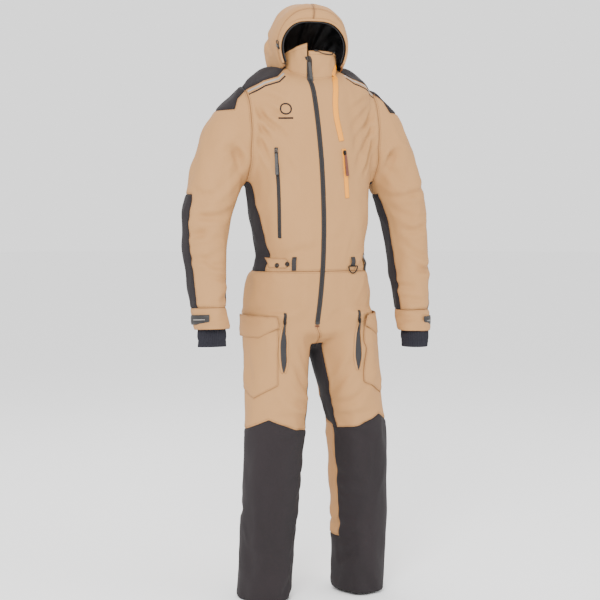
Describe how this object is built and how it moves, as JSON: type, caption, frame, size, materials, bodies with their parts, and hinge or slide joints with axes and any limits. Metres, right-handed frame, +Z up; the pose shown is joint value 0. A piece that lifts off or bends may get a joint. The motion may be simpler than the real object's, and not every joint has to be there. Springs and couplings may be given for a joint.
{
  "type": "hooded one-piece shell suit",
  "caption": "Hooded one-piece insulated shell suit, filled out as worn, with diagonal front zip, cargo pockets, thigh vents and knit inner cuffs.",
  "frame": {"origin": "middle of the neck seam, where the wearer's shoulders carry the suit", "axes": "+X towards the wearer's left hand, -Y the way the wearer faces, +Z up"},
  "size_m": [0.8016, 0.3065, 1.785],
  "materials": {
    "tan_shell": "matt woven softshell",
    "charcoal_shell": "matt heather stretch cloth",
    "black_lining": "soft dull lining",
    "knit": "ribbed knit",
    "orange_tape": "coated zip tape",
    "rust_pull": "moulded",
    "black_rubber": "moulded matt",
    "dark_metal": "dark satin",
    "black_webbing": "woven tape"
  },
  "bodies": {
    "garment": {"back_panel": "tan_shell", "crotch_gusset": "charcoal_shell", "key_ring_webbing": "black_webbing", "left_belt_loop": "black_webbing", "left_calf_panel": "tan_shell", "left_cargo_pocket": "tan_shell", "left_chest_zip_tape": "orange_tape", "left_collar": "tan_shell", "left_front": "tan_shell", "left_knee_panel": "charcoal_shell", "left_shoulder_yoke": "charcoal_shell", "left_side_panel": "charcoal_shell", "left_trouser": "tan_shell", "left_vent_lining": "black_lining", "left_vent_zip_tape": "black_webbing", "main_zip_tape": "black_webbing", "neck_vent_zip_tape": "orange_tape", "right_belt_loop": "black_webbing", "right_calf_panel": "tan_shell", "right_cargo_pocket": "tan_shell", "right_chest_zip_tape": "black_webbing", "right_collar": "tan_shell", "right_front": "tan_shell", "right_knee_panel": "charcoal_shell", "right_shoulder_yoke": "charcoal_shell", "right_side_panel": "charcoal_shell", "right_trouser": "tan_shell", "right_vent_lining": "black_lining", "right_vent_zip_tape": "black_webbing"},
    "right_arm": {"right_sleeve_yoke": "charcoal_shell", "right_elbow_panel": "charcoal_shell", "right_sleeve": "tan_shell", "right_cuff_band": "tan_shell", "right_knit_cuff": "knit"},
    "left_arm": {"left_sleeve_yoke": "charcoal_shell", "left_elbow_panel": "charcoal_shell", "left_sleeve": "tan_shell", "left_cuff_band": "tan_shell", "left_knit_cuff": "knit"},
    "right_cuff_strap": {"right_cuff_tab": "black_rubber"},
    "left_cuff_strap": {"left_cuff_tab": "black_rubber"},
    "hood": {"right_hood": "tan_shell", "left_hood": "tan_shell", "hood_brim": "tan_shell", "hood_lining": "black_lining", "hood_cord_lock": "black_rubber"},
    "main_slider": {"main_zip_slider": "dark_metal"},
    "main_pull": {"main_zip_pull": "black_rubber"},
    "right_chest_slider": {"right_chest_zip_slider": "dark_metal"},
    "right_chest_pull": {"right_chest_zip_pull": "black_rubber"},
    "left_chest_slider": {"left_chest_zip_slider": "dark_metal"},
    "left_chest_pull": {"left_chest_zip_pull": "rust_pull"},
    "right_vent_slider": {"right_vent_zip_slider": "dark_metal"},
    "left_vent_slider": {"left_vent_zip_slider": "dark_metal"},
    "right_pocket_flap": {"right_cargo_flap": "tan_shell"},
    "left_pocket_flap": {"left_cargo_flap": "tan_shell"},
    "waist_strap": {"waist_tab": "tan_shell", "waist_snap_1": "dark_metal", "waist_snap_2": "dark_metal"},
    "ring": {"key_ring": "dark_metal"}
  },
  "joints": [
    {"name": "right_shoulder_swing", "type": "hinge", "parent": "garment", "child": "right_arm", "pos_m": [-0.205, 0.01, -0.135], "axis": [1, 0, 0], "range_deg": [-70, 20]},
    {"name": "left_shoulder_swing", "type": "hinge", "parent": "garment", "child": "left_arm", "pos_m": [0.205, 0.01, -0.135], "axis": [1, 0, 0], "range_deg": [-70, 20]},
    {"name": "hood_fold", "type": "hinge", "parent": "garment", "child": "hood", "pos_m": [0, 0.1535, 0.0215], "axis": [1, 0, 0], "range_deg": [-75, 0]},
    {"name": "main_zip_slide", "type": "hinge", "parent": "garment", "child": "main_slider", "pos_m": [-0.74199, 1.48111, -0.39591], "axis": [0.9118, 0.4105, 0.0099], "range_deg": [0, 22.84]},
    {"name": "main_zip_pull_swing", "type": "hinge", "parent": "main_slider", "child": "main_pull", "pos_m": [-0.03367, -0.10618, 0.07082], "axis": [-0.9861, 0.0905, -0.1394], "range_deg": [0, 60]},
    {"name": "right_chest_zip_slide", "type": "hinge", "parent": "garment", "child": "right_chest_slider", "pos_m": [-0.13976, 1.17053, -0.3641], "axis": [0.9998, 0, 0.0189], "range_deg": [0, 8.47]},
    {"name": "right_chest_zip_pull_swing", "type": "hinge", "parent": "right_chest_slider", "child": "right_chest_pull", "pos_m": [-0.15306, -0.11545, -0.20138], "axis": [-0.8542, 0.5135, -0.0813], "range_deg": [0, 60]},
    {"name": "left_chest_zip_slide", "type": "hinge", "parent": "garment", "child": "left_chest_slider", "pos_m": [0.07286, 1.45581, -0.35143], "axis": [0.9976, 0, 0.0693], "range_deg": [0, 2.52]},
    {"name": "left_chest_zip_pull_swing", "type": "hinge", "parent": "left_chest_slider", "child": "left_chest_pull", "pos_m": [0.06867, -0.1442, -0.20298], "axis": [-0.9845, -0.1672, -0.0528], "range_deg": [0, 60]},
    {"name": "right_vent_zip_slide", "type": "hinge", "parent": "garment", "child": "right_vent_slider", "pos_m": [-0.118, 0.28832, -0.69999], "axis": [1, 0, 0], "range_deg": [-2.29, 0]},
    {"name": "left_vent_zip_slide", "type": "hinge", "parent": "garment", "child": "left_vent_slider", "pos_m": [0.118, 0.24847, -0.70388], "axis": [1, 0, 0], "range_deg": [-2.54, 0]},
    {"name": "right_flap_lift", "type": "hinge", "parent": "garment", "child": "right_pocket_flap", "pos_m": [-0.18038, -0.09064, -0.685], "axis": [-0.5446, 0.8387, 0], "range_deg": [0, 45]},
    {"name": "right_cuff_tab_peel", "type": "hinge", "parent": "right_arm", "child": "right_cuff_strap", "pos_m": [-0.40033, -0.06739, -0.70038], "axis": [0, 0, -1], "range_deg": [0, 50]},
    {"name": "left_flap_lift", "type": "hinge", "parent": "garment", "child": "left_pocket_flap", "pos_m": [0.18245, -0.09064, -0.685], "axis": [-0.5446, -0.8387, 0], "range_deg": [0, 45]},
    {"name": "left_cuff_tab_peel", "type": "hinge", "parent": "left_arm", "child": "left_cuff_strap", "pos_m": [0.39289, -0.04516, -0.72689], "axis": [0, 0, 1], "range_deg": [0, 50]},
    {"name": "waist_tab_peel", "type": "hinge", "parent": "garment", "child": "waist_strap", "pos_m": [-0.1585, -0.09862, -0.52789], "axis": [0, 0, -1], "range_deg": [0, 70]},
    {"name": "key_ring_swing", "type": "hinge", "parent": "garment", "child": "ring", "pos_m": [0.09405, -0.1375, -0.5395], "axis": [-0.9557, -0.2944, 0], "range_deg": [0, 90]}
  ]
}
